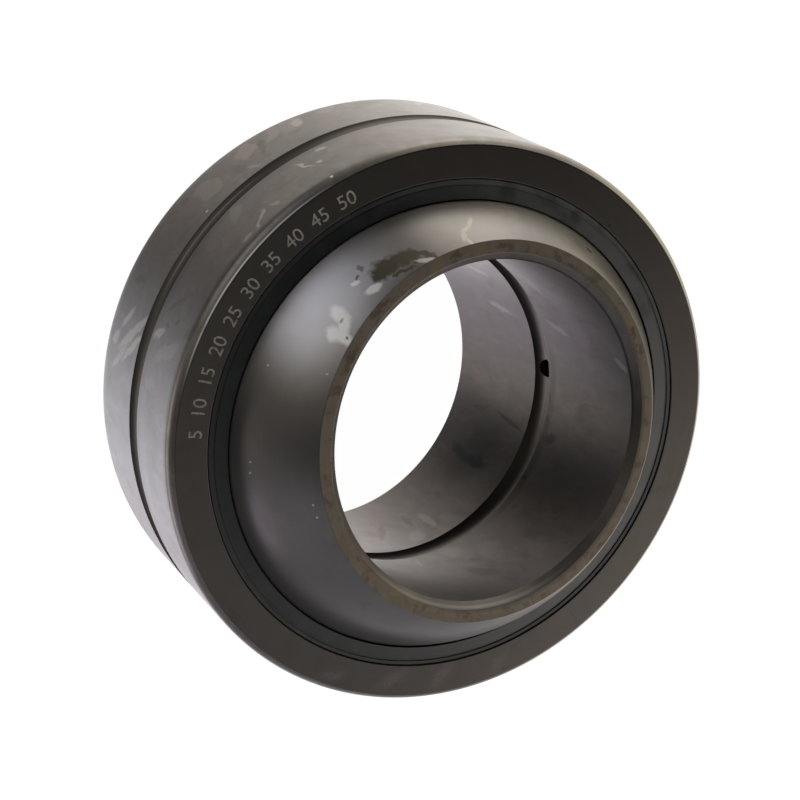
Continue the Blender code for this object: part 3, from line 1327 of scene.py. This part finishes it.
# Each holds a surface, its mottles, its painted edge highlights and shade, and its films, some of which are
# painted light.
BALL_WEAR_AND_PAINTED_LIGHT = (Surface.BALL, BALL_MOTTLES, (), BALL_FILMS)
BORE_WEAR_AND_PAINTED_LIGHT = (Surface.BORE, BORE_MOTTLES, BORE_SHADE_AND_HIGHLIGHT, BORE_FILMS)
END_FACE_WEAR_AND_PAINTED_SHADE = (Surface.END_FACE, END_FACE_MOTTLES, END_FACE_EDGE_SHADE, END_FACE_FILMS)
OUTSIDE_WEAR_AND_PAINTED_LIGHT = (Surface.OUTSIDE, OUTSIDE_MOTTLES, OUTSIDE_HIGHLIGHT_AND_SHADE, OUTSIDE_FILMS)
SIDE_FACE_WEAR_AND_HIGHLIGHT = (Surface.SIDE_FACE, SIDE_FACE_MOTTLES, (RIM_HIGHLIGHT,), SIDE_FACE_FILMS)


@dataclass(frozen=True)
class InnerRing:
    """Ball-shaped inner ring: one ground piece with a chamfered and grooved bore and two oil holes."""

    width: float = 70.0 * MM
    bore: float = 70.0 * MM
    chamfer: float = 1.5 * MM
    groove_width: float = 5.6 * MM
    groove_depth: float = 1.3 * MM
    groove_steps: int = 14
    hole_azimuth: float = 58.5
    edge: float = 0.12 * MM
    groove_edge: float = 0.12 * MM
    sizes: BearingSizes = BearingSizes()

    def section(self) -> Section:
        """Draws the ring's section, down its ball and back up its bore.

        Returns:
            The closed section.
        """
        half, wall = self.width / 2, self.bore / 2
        section = Section()
        ball = sphere_arc(self.sizes.ball_radius, half, -half, self.sizes.ball_steps)
        section.corner(*ball[0], self.edge, Zone.BALL)
        section.run(ball[1:-1], Zone.BALL)
        section.corner(*ball[-1], self.edge, Zone.FACE)
        section.corner(wall + self.chamfer, -half, self.edge, Zone.BORE)
        section.corner(wall, -half + self.chamfer, self.edge, Zone.BORE)
        section.corner(wall, -self.groove_width / 2, self.groove_edge, Zone.GROOVE)
        groove = groove_arc(wall, self.groove_width, self.groove_depth, 1, self.groove_steps)
        section.run(reversed(groove), Zone.GROOVE)
        section.corner(wall, self.groove_width / 2, self.groove_edge, Zone.BORE)
        section.corner(wall, half - self.chamfer, self.edge, Zone.BORE)
        section.corner(wall + self.chamfer, half, self.edge, Zone.FACE)
        return section

    def build(self) -> Object:
        """Builds and dresses the ring.

        Returns:
            The finished ring.
        """
        steels = {
            Zone.TURNED: Steel("oil_hole_steel", (0.09, 0.085, 0.08), 0.4),
            Zone.GROOVE: Steel("bore_groove_steel", (0.07, 0.065, 0.062), 0.45, lines=BORE_GROOVE_HIGHLIGHT),
            Zone.BALL: Steel("ball_steel", (0.125, 0.119, 0.122), 0.34, 0.6, *BALL_WEAR_AND_PAINTED_LIGHT),
            Zone.BORE: Steel("bore_steel", (0.125, 0.117, 0.115), 0.38, 0.6, *BORE_WEAR_AND_PAINTED_LIGHT),
            Zone.FACE: Steel("end_face_steel", (0.118, 0.1, 0.08), 0.42, 0.6, *END_FACE_WEAR_AND_PAINTED_SHADE),
        }
        finishes = {zone: steel.material(self.sizes) for zone, steel in steels.items()}
        holes = OilHoles(self.hole_azimuth, self.bore / 4, self.sizes.outside_radius)
        return Lathe("inner_ring_body", finishes, holes=holes).piece(self.section())


@dataclass(frozen=True)
class OuterRing:
    """Outer ring: one piece, cracked open at one point, with grooved outside, race and two seal seats."""

    chamfer: float = 1.3 * MM
    groove_width: float = 5.0 * MM
    groove_depth: float = 1.3 * MM
    groove_steps: int = 14
    race_clearance: float = 0.2 * MM
    race_groove_width: float = 4.4 * MM
    race_groove_depth: float = 0.9 * MM
    race_steps: int = 16
    hole_azimuth: float = 105.0
    edge: float = 0.3 * MM
    lead: float = 2.4 * MM
    groove_edge: float = 0.12 * MM
    seat_edge: float = 0.2 * MM
    drill_past: float = 5.0 * MM
    sizes: BearingSizes = BearingSizes()

    def section(self) -> Section:
        """Draws the ring's section, down its outside and back up its race.

        Returns:
            The closed section.
        """
        half, outside = self.sizes.outer_half, self.sizes.outside_radius
        section = Section()
        section.corner(outside - self.chamfer, half, self.edge, Zone.OUTSIDE)
        section.corner(outside, half - self.chamfer, self.lead, Zone.OUTSIDE)
        section.corner(outside, self.groove_width / 2, self.groove_edge, Zone.GROOVE)
        groove = groove_arc(outside, self.groove_width, self.groove_depth, -1, self.groove_steps)
        section.run(groove, Zone.GROOVE)
        section.corner(outside, -self.groove_width / 2, self.groove_edge, Zone.OUTSIDE)
        section.corner(outside, -half + self.chamfer, self.lead, Zone.OUTSIDE)
        section.corner(outside - self.chamfer, -half, self.edge, Zone.FACE)
        for corner in reversed(self._seat()):
            section.corner(corner.radius, -corner.height, corner.rounding)
        self._add_race(section)
        for corner in self._seat():
            section.corner(corner.radius, corner.height, corner.rounding)
        section.corners[-1] = Corner(*section.corners[-1].place, self.seat_edge, Zone.FACE)
        return section

    def _seat(self) -> list[Corner]:
        """Places the corners of the upper seal seat.

        Returns:
            The corners, from its floor out to the side face.
        """
        sizes = self.sizes
        snap_wall, snap_top = sizes.seat_radius + sizes.snap_depth, sizes.seat_floor + sizes.snap_height
        return [
            Corner(snap_wall, sizes.seat_floor),
            Corner(snap_wall, snap_top),
            Corner(sizes.seat_radius, snap_top),
            Corner(sizes.seat_radius, sizes.outer_half, self.seat_edge),
        ]

    def _add_race(self, section: Section) -> None:
        """Adds the race and its groove, from below up.

        Args:
            section: The section that gets them.
        """
        race = self.sizes.ball_radius + self.race_clearance
        width, floor = self.race_groove_width, self.sizes.seat_floor
        half = width / 2
        section.run(sphere_arc(race, -floor, -half, self.race_steps), Zone.TURNED)
        groove = groove_arc(sphere_radius(race, half), width, self.race_groove_depth, 1, self.groove_steps)
        section.run(reversed(groove), Zone.TURNED)
        section.run(sphere_arc(race, half, floor, self.race_steps), Zone.TURNED)

    def build(self) -> Object:
        """Builds and dresses the ring.

        Returns:
            The finished ring.
        """
        steels = {
            Zone.TURNED: Steel("seat_steel", (0.07, 0.065, 0.06), 0.45),
            # The outside groove's darker colour is painted shade.
            Zone.GROOVE: Steel("outside_groove_steel", (0.052, 0.048, 0.046), 0.45, lines=GROOVE_SHADE_AND_HIGHLIGHT),
            Zone.OUTSIDE: Steel("outside_steel", (0.125, 0.117, 0.113), 0.36, 0.6, *OUTSIDE_WEAR_AND_PAINTED_LIGHT),
            Zone.FACE: Steel("side_face_steel", (0.093, 0.084, 0.077), 0.22, 0.95, *SIDE_FACE_WEAR_AND_HIGHLIGHT),
        }
        tilt = self.sizes.tilt
        finishes = {zone: steel.material(self.sizes, tilt) for zone, steel in steels.items()}
        drill_end = self.sizes.outside_radius + self.drill_past
        holes = OilHoles(self.hole_azimuth, self.sizes.ball_radius / 2, drill_end)
        lathe = Lathe("outer_ring_body", finishes, tilt=tilt, holes=holes, fracture=Fracture())
        return lathe.piece(self.section())


class Side(Enum):
    """Side of the outer ring that a seal is snapped in."""

    UPPER = 1
    LOWER = -1


@dataclass(frozen=True)
class LipSeal:
    """Lip seal: one moulded ring with a snap-in bead and two lips that run on the ball."""

    side: Side
    seat_gap: float = 0.08 * MM
    lip_gap: float = 0.05 * MM
    rim_sink: float = 0.2 * MM
    lip_rise: float = 0.1 * MM
    rim_width: float = 0.85 * MM
    groove_width: float = 0.45 * MM
    groove_depth: float = 0.16 * MM
    lip_thickness: float = 0.55 * MM
    inner_lip_height: float = 0.8 * MM
    notch_height: float = 1.5 * MM
    notch_depth: float = 1.0 * MM
    rounding: float = 0.16 * MM
    sizes: BearingSizes = BearingSizes()

    def section(self) -> Section:
        """Draws the upper seal's section, down its snap-in side and back up its two lips.

        Returns:
            The closed section.
        """
        sizes, rounding = self.sizes, self.rounding
        wall, bottom = sizes.seat_radius - self.seat_gap, sizes.seat_floor + self.seat_gap
        bead, bead_top = wall + sizes.snap_depth, sizes.seat_floor + sizes.snap_height - self.seat_gap
        rim, lip = sizes.outer_half - self.rim_sink, sizes.outer_half + self.lip_rise
        rim_inside = wall - self.rim_width
        groove_inside, groove_floor = rim_inside - self.groove_width, rim - self.groove_depth
        lips = [
            (bottom, self.lip_gap),
            (bottom + self.inner_lip_height, self.lip_gap),
            (bottom + self.notch_height, self.notch_depth),
            (lip - self.lip_thickness, self.notch_depth),
            (lip, self.lip_gap),
        ]
        section = Section()
        for radius, height in ((wall, rim), (wall, bead_top), (bead, bead_top), (bead, bottom)):
            section.corner(radius, height, rounding, Zone.RUBBER)
        for height, gap in lips:
            radius = sphere_radius(sizes.ball_radius, height) + gap
            section.corner(radius, height, rounding / 2, Zone.RUBBER)
        for radius, height in (
            (groove_inside, rim),
            (groove_inside, groove_floor),
            (rim_inside, groove_floor),
            (rim_inside, rim),
        ):
            section.corner(radius, height, rounding / 2, Zone.RUBBER)
        return section

    def build(self, rubber: Material) -> Object:
        """Builds and dresses the seal.

        Args:
            rubber: Its material.

        Returns:
            The finished seal.
        """
        name = f"{self.side.name.lower()}_seal_body"
        lathe = Lathe(name, {Zone.RUBBER: rubber}, side=self.side.value, tilt=self.sizes.tilt)
        return lathe.piece(self.section())


@dataclass(frozen=True)
class EtchedNumbers:
    """Plain scale numbers etched along an arc of the outer ring's side face, read clockwise."""

    text: str = "5  10  15  20  25  30  35  40  45  50"
    letter_height: float = 4.0 * MM
    baseline_radius: float = 53.4 * MM
    first_azimuth: float = -128.4
    proud: float = 0.02 * MM
    sunk: float = 0.03 * MM
    sizes: BearingSizes = BearingSizes()

    def build(self) -> Object:
        """Builds and dresses the numbers.

        Returns:
            The finished numbers, as one piece.
        """
        piece = placed("etched_numbers", bpy.data.meshes.new("etched_numbers"))
        inputs = {
            "Height": self.letter_height,
            "Radius": self.baseline_radius,
            "First azimuth": math.radians(self.first_azimuth),
            "Bottom": self.sizes.outer_half - self.sunk,
            "Thickness": self.proud + self.sunk,
            "Tilt": self.sizes.tilt,
        }
        return run_tree(piece, self._tree(Etching().material()), inputs)

    def _tree(self, material: Material) -> GeometryTree:
        """Builds the tree that writes the numbers, thickens them and bends them along the arc.

        Args:
            material: Their finish.

        Returns:
            The tree.
        """
        tree = GeometryTree("etched_numbers_tree")
        tree.input("Start", "NodeSocketGeometry")
        text = tree.step("StringToCurves", {"String": self.text, "Size": tree.number("Height")})
        flat = tree.step("FillCurve", {0: tree.step("RealizeInstances", {0: text})}, mode="NGONS")
        lift = {"Mesh": flat, "Offset": tree.joined(0, 0, tree.number("Thickness")), "Individual": False}
        faces = [tree.step("ExtrudeMesh", lift, mode="FACES"), tree.step("FlipFaces", {0: flat})]
        joined = tree.step("JoinGeometry", {0: faces})
        solid = tree.step("MergeByDistance", {0: joined, "Distance": Lathe.MERGE})
        across, up, height = tree.triple("GeometryNodeInputPosition").parts()
        azimuth = tree.number("First azimuth") - across / tree.number("Radius")
        spoke = tree.joined(up + tree.number("Radius"), 0, height + tree.number("Bottom"))
        bent = tree.tilted(tree.moved(solid, tree.turned(spoke, azimuth)))
        real = tree.step("RealizeInstances", {0: bent})
        tree.output(tree.step("SetMaterial", {"Geometry": real, "Material": material}))
        return tree


@dataclass(frozen=True)
class Spread:
    """Round patch of the surroundings, in degrees, full within its reach and then fading out."""

    azimuth: float
    elevation: float
    reach: float
    fade: float

    def shown(self, towards: Triple) -> Value:
        """How much of the patch a direction meets.

        Args:
            towards: The direction.

        Returns:
            The share, from 0 to 1.
        """
        facing = towards.dot(direction(self.azimuth, self.elevation))
        rim, edge = math.radians(self.reach + self.fade), math.radians(self.reach)
        return facing.ramp(math.cos(rim), math.cos(edge))


@dataclass(frozen=True)
class Flag(Spread):
    """Dark cloth that takes a share of the white surroundings away."""

    share: float


@dataclass(frozen=True)
class Softbox(Spread):
    """Soft lamp in front of the surroundings."""

    light: Colour


@dataclass(frozen=True)
class Studio:
    """White surroundings with soft lights, the floor and the camera at the photograph's angle."""

    aim: Vector = Vector((0.0, -1.083, -0.342)) * MM
    azimuth: float = -151.304
    elevation: float = 57.04
    roll: float = 112.935
    distance: float = 475.818 * MM
    lens: float = 100.88
    sensor: float = 36.0
    clip: Span = (0.01, 50.0)
    floor_size: float = 6.0
    floor_colour: Colour = (0.15, 0.15, 0.15)
    floor_glow: float = 0.985
    floor_drop: float = 0.1 * MM
    level: float = 1.03
    flags: tuple[Flag, ...] = (
        Flag(-116.0, -48.0, 42.0, 20.0, 0.92),
        Flag(50.0, 26.0, 14.0, 20.0, 1.00),
        Flag(-144.0, 39.0, 41.0, 21.0, 1.00),
        Flag(-16.0, 22.0, 53.0, 20.0, 0.55),
        Flag(154.0, -29.0, 39.0, 20.0, 1.00),
        Flag(102.0, 47.0, 42.0, 20.0, 0.98),
    )
    softboxes: tuple[Softbox, ...] = (
        Softbox(102.0, -57.0, 16.0, 26.0, (0.89, 0.81, 0.74)),
        Softbox(16.0, 38.0, 3.0, 17.0, (2.56, 2.39, 2.21)),
        Softbox(-62.0, -77.0, 3.0, 17.0, (2.31, 2.29, 2.50)),
        Softbox(122.0, 1.0, 8.0, 17.0, (3.63, 3.43, 2.79)),
        Softbox(-83.0, -32.0, 3.0, 17.0, (3.59, 3.19, 3.61)),
        Softbox(67.0, -4.0, 10.0, 17.0, (1.86, 1.58, 0.88)),
        Softbox(-25.0, -49.0, 9.0, 19.0, (1.22, 1.11, 1.23)),
        Softbox(27.0, -29.0, 4.0, 17.0, (0.90, 0.51, 0.44)),
        Softbox(-155.0, 10.0, 12.0, 23.0, (0.81, 0.75, 0.59)),
        Softbox(115.0, -19.0, 17.0, 17.0, (2.40, 2.19, 2.08)),
        Softbox(-114.0, -33.0, 3.0, 18.0, (3.01, 2.76, 2.35)),
        Softbox(24.0, 4.0, 10.0, 25.0, (3.32, 2.97, 2.67)),
        Softbox(-170.0, -5.0, 8.0, 20.0, (1.10, 1.11, 1.22)),
        Softbox(90.0, 9.0, 6.0, 20.0, (0.82, 0.80, 0.73)),
    )

    def build(self, floor_height: float) -> None:
        """Builds the camera, the floor and the light.

        Args:
            floor_height: Height of the floor under the bearing.
        """
        self._camera()
        self._floor(floor_height)
        self._surroundings()
        bpy.context.scene.view_settings.view_transform = "Standard"

    def _camera(self) -> None:
        """Puts the camera where the photograph was taken from."""
        data = bpy.data.cameras.new("camera")
        data.lens, data.sensor_width, data.sensor_fit = self.lens, self.sensor, "HORIZONTAL"
        data.clip_start, data.clip_end = self.clip
        camera = placed("camera", data)
        bpy.context.scene.camera = camera
        back = direction(self.azimuth, self.elevation)
        facing = back.to_track_quat("Z", "Y").to_matrix() @ Matrix.Rotation(math.radians(self.roll), 3, "Z")
        camera.matrix_world = Matrix.Translation(self.aim + back * self.distance) @ facing.to_4x4()

    def _floor(self, height: float) -> None:
        """Lays a plain floor that keeps the bearing's soft shadow.

        Args:
            height: Height of the bearing's lowest face.
        """
        mesh = bpy.data.meshes.new("floor")
        shape = bmesh.new()
        bmesh.ops.create_grid(shape, x_segments=1, y_segments=1, size=self.floor_size / 2)
        bmesh.ops.translate(shape, verts=shape.verts, vec=(0.0, 0.0, height - self.floor_drop))
        shape.to_mesh(mesh)
        shape.free()
        mesh.materials.append(self._floor_white())
        floor = placed("floor", mesh)
        floor.visible_glossy = floor.visible_diffuse = floor.visible_shadow = False

    def _floor_white(self) -> Material:
        """Builds the floor's material: matt, and glowing white to rays that show it.

        Returns:
            The material.
        """
        material = bpy.data.materials.new("floor_white")
        material.use_nodes = True
        material.node_tree.nodes.clear()
        graph = Graph(material.node_tree)
        lit = graph.node("ShaderNodeBsdfDiffuse", None, {"Color": self.floor_colour}).outputs[0]
        glowing = {"Color": WHITE, "Strength": self.floor_glow}
        glow = graph.node("ShaderNodeEmission", None, glowing).outputs[0]
        both = graph.node("ShaderNodeAddShader", None, {0: lit, 1: glow}).outputs[0]
        seen = self._rays(graph, "Camera", "Glossy", "Transmission")
        mixed = graph.node("ShaderNodeMixShader", None, {0: seen, 1: lit, 2: both}).outputs[0]
        graph.node("ShaderNodeOutputMaterial", None, {"Surface": mixed})
        return material

    def _surroundings(self) -> None:
        """Surrounds the bearing with white, with flags and soft lamps that only its own surfaces see."""
        world = bpy.data.worlds.new("studio")
        bpy.context.scene.world = world
        world.use_nodes = True
        world.node_tree.nodes.clear()
        graph = Graph(world.node_tree)
        towards = Triple(graph, graph.node("ShaderNodeTexCoord").outputs["Generated"])
        white: Number = self.level
        for flag in self.flags:
            white = (1.0 - flag.shown(towards) * flag.share) * white
        light = graph.joined(white, white, white)
        for box in self.softboxes:
            light = light.plus(graph.joined(*(box.shown(towards) * part for part in box.light)))
        lit = graph.node("ShaderNodeBackground", None, {"Color": light}).outputs[0]
        plain = graph.node("ShaderNodeBackground", None, {"Color": WHITE}).outputs[0]
        seen = self._rays(graph, "Camera")
        mixed = graph.node("ShaderNodeMixShader", None, {0: seen, 1: lit, 2: plain}).outputs[0]
        graph.node("ShaderNodeOutputWorld", None, {"Surface": mixed})

    @staticmethod
    def _rays(graph: Graph, *kinds: str) -> Value:
        """Tells some kinds of rays from the others.

        Args:
            graph: The graph.
            kinds: The kinds' names.

        Returns:
            1 for rays of these kinds, and 0 for other rays.
        """
        path = graph.node("ShaderNodeLightPath")
        first, *others = [Value(graph, path.outputs[f"Is {kind} Ray"]) for kind in kinds]
        for other in others:
            first = first.most(other)
        return first


def placed(name: str, data: Any) -> Object:
    """Adds an object to the scene.

    Args:
        name: Its name.
        data: Its mesh or camera.

    Returns:
        The object.
    """
    item = bpy.data.objects.new(name, data)
    bpy.context.scene.collection.objects.link(item)
    return item


def direction(azimuth: float, elevation: float) -> Vector:
    """Unit vector of an azimuth and an elevation in degrees."""
    turn, rise = math.radians(azimuth), math.radians(elevation)
    return Vector((math.cos(rise) * math.cos(turn), math.cos(rise) * math.sin(turn), math.sin(rise)))


def mount(piece: Object, body: str, node: str | None = None) -> None:
    """Hands a finished piece to the frame and reports it.

    Args:
        piece: The piece.
        body: The CAD body that it moves with.
        node: The CAD node that it stands for, if any.
    """
    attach(piece, body)
    if node:
        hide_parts(node)
    LOG.info("%s on %s: %d faces", piece.name, body, len(piece.data.polygons))


def main() -> None:
    """Builds the bearing and its studio."""
    logging.basicConfig(level=logging.INFO, format="%(name)s: %(message)s")
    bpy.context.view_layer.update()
    floor_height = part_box("inner_ring")[0].z
    Studio().build(floor_height)
    mount(InnerRing().build(), "inner", "inner_ring")
    mount(OuterRing().build(), "outer", "outer_ring")
    rubber = Rubber().material(BearingSizes().tilt)
    for side in Side:
        mount(LipSeal(side).build(rubber), "outer", f"{side.name.lower()}_seal")
    mount(EtchedNumbers().build(), "outer")


if __name__ == "__main__":
    main()
